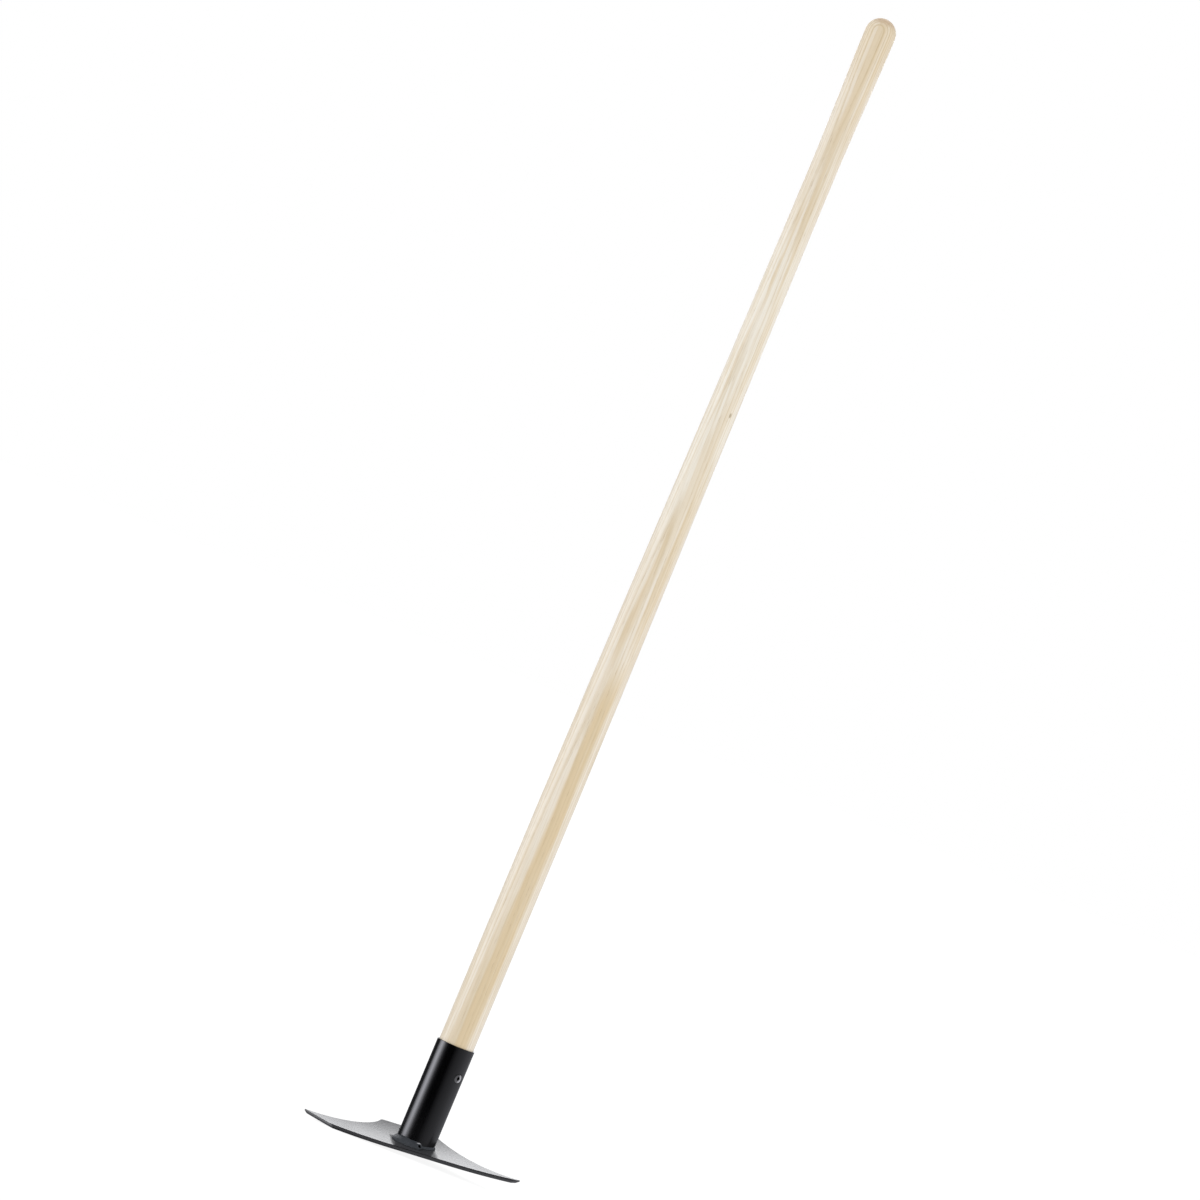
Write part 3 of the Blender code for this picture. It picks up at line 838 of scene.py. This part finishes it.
def ash_wood():
    """Pale ash: growth rings round a far pith, fine pores along the grain, tan streaks where the photograph
    has them, one pin knot and darker end grain."""
    material, tree = new_material("ash_wood")
    place = add_node(tree, "ShaderNodeTexCoord").outputs["Object"]
    turn = math.radians(CAMERA_TURN)
    across = vector_math(tree, "DOT_PRODUCT", place, (math.cos(turn), -math.sin(turn), 0))
    depth = vector_math(tree, "DOT_PRODUCT", place, (math.sin(turn), math.cos(turn), 0))
    up = level_of(tree, place)
    drift = speckle(tree, stretched(tree, place, (14, 14, 2.2)), 1.0, detail=1.0)
    drift = calculate(tree, "MULTIPLY", calculate(tree, "SUBTRACT", drift, 0.5), GRAIN_WAVE)
    waved = calculate(tree, "ADD", across, drift)
    on_section = add_node(tree, "ShaderNodeCombineXYZ", {0: waved, 1: depth}).outputs[0]
    rings = vector_math(tree, "LENGTH", vector_math(tree, "ADD", on_section, PITH))
    rings = calculate(tree, "ADD", rings, calculate(tree, "MULTIPLY", up, RING_LEAN))
    spacing = speckle(tree, stretched(tree, place, (40, 40, 0.6)), 1.0, detail=0.0)
    rings = calculate(tree, "ADD", rings, calculate(tree, "MULTIPLY", spacing, RING_WANDER))
    year = calculate(tree, "FRACT", calculate(tree, "DIVIDE", rings, RING_WIDTH))
    early = calculate(tree, "MULTIPLY", between(tree, year, 0.0, 0.12), between(tree, year, 0.55, 0.15))
    fibres = speckle(tree, stretched(tree, place, (1, 1, 0.012)), FIBRE_SCALE, detail=3.0, roughness=0.6)
    pores = speckle(tree, stretched(tree, place, (1, 1, 0.03)), PORE_SCALE, detail=1.0)
    pores = between(tree, pores, 0.60, 0.74)
    flame = speckle(tree, stretched(tree, place, (1, 1, 0.02)), FLAME_SCALE, detail=2.0)
    frayed = speckle(tree, stretched(tree, place, (1, 1, 0.05)), FRAY_SCALE, detail=2.0)
    ragged = calculate(tree, "ADD", waved, between(tree, frayed, 0.2, 0.8, -FRAY_REACH, FRAY_REACH))
    tan = tan_streaks(tree, ragged, up)
    tan = calculate(tree, "MULTIPLY", tan, between(tree, flame, 0.15, 0.62, 0.65, 1.15))
    knob_tan = between(tree, up, HANDLE_TOP - 0.10, HANDLE_TOP - 0.01, 0.0, 0.36)
    tan = calculate(tree, "MAXIMUM", tan, knob_tan, clamp=True)

    colour = blend_colours(tree, between(tree, flame, 0.35, 0.75), WOOD_PALE, WOOD_DEEPER)
    pale_end = between(tree, up, *PALE_END, 0.0, 0.7)
    paler = calculate(tree, "MULTIPLY", between(tree, up, *PALE_START), pale_end)
    colour = blend_colours(tree, paler, colour, WOOD_PALEST)
    colour = blend_colours(tree, tan, colour, WOOD_TAN)
    ring_share = between(tree, up, HANDLE_TOP - 0.09, HANDLE_TOP - 0.03, 0.34, 0.75)
    colour = blend_colours(tree, calculate(tree, "MULTIPLY", early, ring_share), colour, RING_BROWN)
    fibre_share = between(tree, calculate(tree, "ADD", fibres, frayed), 0.92, 1.36, 0.0, 0.50)
    colour = blend_colours(tree, fibre_share, colour, FIBRE_BROWN)
    pore_share = calculate(tree, "MULTIPLY", pores, between(tree, year, 0.6, 0.1, 0.12, 0.5))
    colour = blend_colours(tree, pore_share, colour, PORE_BROWN)
    facing = add_node(tree, "ShaderNodeNewGeometry").outputs["True Normal"]
    end_share = between(tree, level_of(tree, facing), 0.40, 0.85, 0.0, 0.62)
    colour = blend_colours(tree, end_share, colour, END_BROWN)
    knot = add_node(tree, "ShaderNodeCombineXYZ", {0: across, 1: depth, 2: up}).outputs[0]
    knot = stretched(tree, vector_math(tree, "SUBTRACT", knot, KNOT_PLACE), [1 / half for half in KNOT_HALF])
    knot = between(tree, vector_math(tree, "LENGTH", knot), 1.1, 0.5, 0.0, 0.75)
    colour = blend_colours(tree, knot, colour, KNOT_BROWN)
    height = calculate(tree, "SUBTRACT", calculate(tree, "MULTIPLY", fibres, 0.4), pores)
    bump = add_node(tree, "ShaderNodeBump", {"Strength": 0.25, "Distance": 0.0001, "Height": height})
    wood = add_node(
        tree,
        "ShaderNodeBsdfPrincipled",
        {
            "Base Color": colour,
            "Roughness": between(tree, fibres, 0.2, 0.8, 0.42, 0.60),
            "Specular IOR Level": 0.35,
            "Normal": bump.outputs[0],
        },
    )
    output_surface(tree, wood.outputs[0])
    return material


def weld_mark(tree, place, turn, out, up, half_sizes):
    """A ragged patch of painted light on the front weld: 1 inside it. It has its turn round the tube, how far
    out of the tube and over the blade it is, and its half sizes along X, Y and Z."""
    angle = math.radians(turn)
    reach = TUBE_RADIUS + GAP + out
    x, y = reach * math.sin(angle), -reach * math.cos(angle)
    middle = (x, y, blade_height(x, y) + GAP + up)
    off = stretched(tree, vector_math(tree, "SUBTRACT", place, middle), [1 / half for half in half_sizes])
    fray = calculate(tree, "MULTIPLY", speckle(tree, place, MARK_FRAY_SCALE), 0.5)
    ragged = calculate(tree, "ADD", vector_math(tree, "LENGTH", off), fray)
    return between(tree, ragged, 1.30, 1.05)


def black_paint(name, colour, roughness, grain_size, grain_depth, marks):
    """Black paint on steel: nearly even, with a fine grain, faint clouds in its gloss and a few specks of
    dust. Marks is a function that adds a piece's own marks and its painted light and shade to the colour and
    the roughness and says how dull it is."""
    material, tree = new_material(name)
    place = add_node(tree, "ShaderNodeTexCoord").outputs["Object"]
    grain = speckle(tree, place, 1 / grain_size, detail=2.0)
    clouds = speckle(tree, place, CLOUD_SCALE, detail=3.0)
    dust = between(tree, speckle(tree, place, DUST_SCALE, detail=0.0), 0.80, 0.86, 0.0, 0.15)
    darker = (*[part * 0.75 for part in colour], 1)
    lighter = (*[part * 1.25 for part in colour], 1)
    body = blend_colours(tree, clouds, darker, lighter)
    body = blend_colours(tree, dust, body, DUST_GREY)
    rough = between(tree, clouds, 0.3, 0.7, roughness * 0.97, roughness * 1.04)
    rough = calculate(tree, "ADD", rough, calculate(tree, "MULTIPLY", dust, 0.3))
    body, rough, dull = marks(tree, place, body, rough)
    bump = add_node(tree, "ShaderNodeBump", {"Strength": 0.3, "Distance": grain_depth, "Height": grain})
    paint = add_node(
        tree,
        "ShaderNodeBsdfPrincipled",
        {"Base Color": body, "Roughness": rough, "IOR": 1.5, "Normal": bump.outputs[0]},
    )
    matte = add_node(tree, "ShaderNodeBsdfDiffuse", {"Color": body, "Normal": bump.outputs[0]})
    mixed = add_node(tree, "ShaderNodeMixShader", {0: dull, 1: paint.outputs[0], 2: matte.outputs[0]})
    output_surface(tree, mixed.outputs[0])
    return material


def tube_marks(tree, place, body, rough):
    """The tube's paint is a little rougher low down, near the weld."""
    low_down = between(tree, level_of(tree, place), 0.055, 0.012, 0.0, 0.06)
    return body, calculate(tree, "ADD", rough, low_down), 0.0


def weld_lip_highlight_and_pit_shade(tree, place, body, rough):
    """A black pit of painted shade in the crater at the front weld's end and a pale painted highlight on its
    lip.
    """
    # Painted highlight on the crater's lip, then painted shade in its pit
    body = blend_colours(tree, weld_mark(tree, place, *WELD_LIP_HIGHLIGHT), body, LIP_HIGHLIGHT_GREY)
    pit = weld_mark(tree, place, *WELD_PIT_SHADE)
    body = blend_colours(tree, pit, body, PIT_SHADE_BLACK)
    return body, rough, calculate(tree, "MAXIMUM", pit, 0.5)


def blade_painted_light_and_dullness(tree, place, body, rough):
    """A dull black patch on the blade's top before the tube: the tube's painted reflection. Round it a softer
    painted reflection in grey, painted shade in a dull strip along the front edge, a painted highlight on the
    left corner's edge, and paint that is duller towards the back and the left."""
    level = level_of(tree, add_node(tree, "ShaderNodeNewGeometry").outputs["True Normal"])
    top = between(tree, level, 0.7, 0.9)
    side = calculate(tree, "MULTIPLY", between(tree, level, 0.6, 0.3), between(tree, level, -0.6, -0.3))
    x, y, _ = add_node(tree, "ShaderNodeSeparateXYZ", {0: place}).outputs
    distance = vector_math(tree, "LENGTH", stretched(tree, place, (1, 1, 0)))
    # Painted soft reflection of the tube: grey on the top face round it
    soft_reflection = calculate(tree, "MULTIPLY", top, between(tree, distance, *SOFT_REFLECTION_REACH, 0.0, 0.9))
    body = blend_colours(tree, soft_reflection, body, SOFT_REFLECTION_GREY)
    # Painted reflection of the tube: dark and dull on the top before it
    patch = calculate(tree, "MULTIPLY", between(tree, x, *TUBE_REFLECTION_LEFT), between(tree, x, *TUBE_REFLECTION_RIGHT))
    patch = calculate(tree, "MULTIPLY", patch, between(tree, y, *TUBE_REFLECTION_BACK, 0.0, 0.78))
    body = blend_colours(tree, patch, body, TUBE_REFLECTION_BLACK)
    # Painted shade: a dark, dull strip along the front edge
    strip = between(tree, y, *FRONT_EDGE_SHADE_BACK)
    body = blend_colours(tree, strip, body, FRONT_EDGE_SHADE_BLACK)
    # Painted highlight on the left corner's edge faces
    corner_highlight = calculate(tree, "MULTIPLY", side, between(tree, x, *CORNER_HIGHLIGHT_RIGHT, 0.0, 0.9))
    body = blend_colours(tree, corner_highlight, body, CORNER_HIGHLIGHT_GREY)
    towards_back = between(tree, y, -0.040, 0.045, 0.0, 0.50)
    dull = calculate(tree, "ADD", towards_back, between(tree, x, 0.055, 0.020, 0.0, 0.14))
    dull = calculate(tree, "ADD", dull, between(tree, x, -0.060, -0.080, 0.0, 0.09))
    dull = calculate(tree, "MAXIMUM", dull, calculate(tree, "MAXIMUM", patch, strip))
    return body, rough, calculate(tree, "MULTIPLY", top, dull)


def zinc_plate():
    """Zinc plating, a little mottled. Painted shade lies down in the recess and on the head's left."""
    material, tree = new_material("zinc_plate")
    place = add_node(tree, "ShaderNodeTexCoord").outputs["Object"]
    mottle = speckle(tree, place, MOTTLE_SCALE, detail=3.0)
    colour = blend_colours(tree, mottle, ZINC_SHADE, ZINC_LIGHT)
    turn = math.radians(SCREW_TURN)
    height = vector_math(tree, "DOT_PRODUCT", place, (math.sin(turn), -math.cos(turn), 0))
    aside = vector_math(tree, "DOT_PRODUCT", place, (math.cos(turn), math.sin(turn), 0))
    edge = screw_heights()[2]
    # Painted shade: dark on the head's left side and down in the recess
    colour = blend_colours(tree, between(tree, aside, 0.0022, -0.0004, 0.0, 0.85), colour, HEAD_SHADE_BLACK)
    colour = blend_colours(tree, between(tree, height, edge + 0.0002, edge - 0.0010), colour, RECESS_SHADE_BLACK)
    bump = add_node(tree, "ShaderNodeBump", {"Strength": 0.2, "Distance": 0.00005, "Height": mottle})
    shader = add_node(
        tree,
        "ShaderNodeBsdfPrincipled",
        {
            "Base Color": colour,
            "Metallic": 1.0,
            "Roughness": between(tree, mottle, 0.3, 0.7, 0.22, 0.36),
            "Normal": bump.outputs[0],
        },
    )
    output_surface(tree, shader.outputs[0])
    return material


# Studio


def white_world(ambient):
    """A white background, also where metal and paint mirror it. It lights at the ambient strength."""
    world = bpy.data.worlds.new("white_studio")
    bpy.context.scene.world = world
    world.use_nodes = True
    tree = world.node_tree
    tree.nodes.clear()
    path = add_node(tree, "ShaderNodeLightPath").outputs
    seen = calculate(tree, "MAXIMUM", path["Is Camera Ray"], path["Is Glossy Ray"])
    seen = calculate(tree, "MAXIMUM", seen, path["Is Transmission Ray"])
    light = add_node(tree, "ShaderNodeBackground", {"Color": WHITE, "Strength": ambient})
    white = add_node(tree, "ShaderNodeBackground", {"Color": WHITE, "Strength": 1.0})
    mixed = add_node(tree, "ShaderNodeMixShader", {0: seen, 1: light.outputs[0], 2: white.outputs[0]})
    add_node(tree, "ShaderNodeOutputWorld", {"Surface": mixed.outputs[0]})


def lay_floor():
    """A plain white floor just under the blade. It keeps the tool's shadow."""
    deselect_all()
    bpy.ops.mesh.primitive_plane_add(size=FLOOR_SIZE, location=(0, 0, CAD_BOX[0].z - FLOOR_DROP))
    floor = bpy.context.object
    floor.name = "floor"
    material, tree = new_material("white_floor")
    place = add_node(tree, "ShaderNodeTexCoord").outputs["Object"]
    tint = blend_colours(tree, speckle(tree, place, 2.0), FLOOR_SHADE, FLOOR_LIGHT)
    matte = add_node(tree, "ShaderNodeBsdfDiffuse", {"Color": tint})
    pale = add_node(tree, "ShaderNodeEmission", {"Color": WHITE, "Strength": FLOOR_GLOW})
    path = add_node(tree, "ShaderNodeLightPath").outputs
    lit = add_node(
        tree, "ShaderNodeMixShader", {0: FLOOR_GLOW_SHARE, 1: matte.outputs[0], 2: pale.outputs[0]}
    )
    mixed = add_node(
        tree, "ShaderNodeMixShader", {0: path["Is Camera Ray"], 1: matte.outputs[0], 2: lit.outputs[0]}
    )
    output_surface(tree, mixed.outputs[0])
    floor.data.materials.append(material)
    floor.visible_glossy = False


def hang_surround():
    """The studio as the paint mirrors it: a soft strip on the left, dark behind the camera, grey on the
    right, a bright panel high behind the tool and the white table below. Turns are counted from the
    camera."""
    deselect_all()
    bpy.ops.mesh.primitive_uv_sphere_add(
        segments=48, ring_count=24, radius=SURROUND_RADIUS, location=(0, 0, 0)
    )
    surround = bpy.context.object
    surround.name = "studio_surround"
    material, tree = new_material("studio_cards")
    place = add_node(tree, "ShaderNodeTexCoord").outputs["Object"]
    spun = add_node(
        tree,
        "ShaderNodeVectorRotate",
        {"Vector": place, "Axis": (0, 0, 1), "Angle": math.radians(CAMERA_TURN + 90)},
    ).outputs[0]
    around = add_node(tree, "ShaderNodeTexGradient", {"Vector": spun}, gradient_type="RADIAL").outputs["Fac"]
    ramp = add_node(tree, "ShaderNodeValToRGB", {"Fac": around})
    elements = ramp.color_ramp.elements
    while len(elements) < len(SURROUND_GLOW):
        elements.new(0.5)
    for element, (turn, glow) in zip(elements, SURROUND_GLOW):
        element.position = (turn + 180) / 360
        element.color = (glow / STRONGEST_GLOW,) * 3 + (1,)
    sides = calculate(tree, "MULTIPLY", ramp.outputs["Color"], STRONGEST_GLOW)
    level = calculate(tree, "DIVIDE", level_of(tree, place), SURROUND_RADIUS)
    table = between(tree, level, -0.16, -0.26)
    behind = between(tree, calculate(tree, "ABSOLUTE", calculate(tree, "SUBTRACT", around, 0.5)), 0.41, 0.46)
    panel = calculate(tree, "MULTIPLY", behind, between(tree, level, 0.13, 0.20))
    panel_glow = between(tree, level, 0.24, 0.38, 5.0, 2.2)
    sides = calculate(tree, "MULTIPLY", sides, between(tree, level, 0.10, 0.30, 1.0, 0.25))
    glow = calculate(tree, "MULTIPLY", sides, calculate(tree, "SUBTRACT", 1.0, table))
    table_glow = between(tree, behind, 0.0, 1.0, 0.85, 0.03)
    glow = calculate(tree, "ADD", glow, calculate(tree, "MULTIPLY", table, table_glow))
    keep = calculate(tree, "MULTIPLY", glow, calculate(tree, "SUBTRACT", 1.0, panel))
    glow = calculate(tree, "ADD", keep, calculate(tree, "MULTIPLY", panel, panel_glow))
    tint = blend_colours(tree, panel, CARD_TINT, PANEL_TINT)
    emission = add_node(tree, "ShaderNodeEmission", {"Color": tint, "Strength": glow})
    output_surface(tree, emission.outputs[0])
    surround.data.materials.append(material)
    surround.visible_camera = False
    surround.visible_diffuse = False
    surround.visible_transmission = False
    surround.visible_shadow = False


def add_softbox(name, turn, height, distance, size, power):
    """A soft area lamp aimed at the tool's middle. Its turn is counted from the camera, rightwards."""
    around = math.radians(turn - CAMERA_TURN)
    place = Vector((math.sin(around) * distance, -math.cos(around) * distance, height))
    aim = Vector((0, 0, AIM_HEIGHT)) - place
    deselect_all()
    bpy.ops.object.light_add(type="AREA", location=place, rotation=aim.to_track_quat("-Z", "Y").to_euler())
    lamp = bpy.context.object
    lamp.name = name
    lamp.data.shape = "RECTANGLE"
    lamp.data.size, lamp.data.size_y = size
    lamp.data.energy = power
    lamp.visible_camera = False
    lamp.visible_glossy = False


def place_camera():
    """The camera of the photograph, for a square picture."""
    turn = math.radians(CAMERA_TURN)
    roll = math.radians(CAMERA_ROLL)
    side = Vector((math.cos(turn), -math.sin(turn), 0))
    ahead = Vector((math.sin(turn), math.cos(turn), 0))
    up = Vector((0, 0, 1))
    right = side * math.cos(roll) + up * math.sin(roll)
    top = up * math.cos(roll) - side * math.sin(roll)
    data = bpy.data.cameras.new("photo_camera")
    data.sensor_width = CAMERA_SENSOR
    data.lens = CAMERA_LENS
    data.clip_end = CAMERA_SIGHT
    camera = bpy.data.objects.new("photo_camera", data)
    bpy.context.scene.collection.objects.link(camera)
    place = Matrix((right, top, -ahead)).transposed().to_4x4()
    place.translation = up * CAMERA_HEIGHT + side * CAMERA_SIDESTEP - ahead * CAMERA_DISTANCE
    camera.matrix_world = place
    bpy.context.scene.camera = camera


bpy.context.scene.view_settings.view_transform = "Standard"
place_camera()
white_world(ambient=0.86)
lay_floor()
hang_surround()
add_softbox("left_softbox", turn=-75, height=1.6, distance=3.0, size=(0.8, 1.8), power=13)
add_softbox("right_softbox", turn=60, height=1.4, distance=3.5, size=(1.6, 1.6), power=22)

make_handle(ash_wood())
tube_paint = black_paint("black_paint_tube", TUBE_BLACK, *TUBE_FINISH, tube_marks)
blade_paint = black_paint("black_paint_blade", BLADE_BLACK, *BLADE_FINISH, blade_painted_light_and_dullness)
weld_paint = black_paint("black_paint_weld", WELD_BLACK, *WELD_FINISH, weld_lip_highlight_and_pit_shade)
make_tube(tube_paint)
make_blade(blade_paint)
lay_weld("front_weld", "weld_bead_front", FRONT_WELD, WELD_LEG, WELD_HEIGHT, WELD_SLOW_START, weld_paint)
lay_weld("rear_weld", "weld_bead_rear", REAR_WELD, WELD_LEG, WELD_HEIGHT, WELD_SLOW_START, weld_paint)
lay_weld("weld_root", None, ROOT_SPAN, ROOT_LEG, ROOT_HEIGHT, ROOT_SLOW_START, weld_paint)
make_screw(zinc_plate())
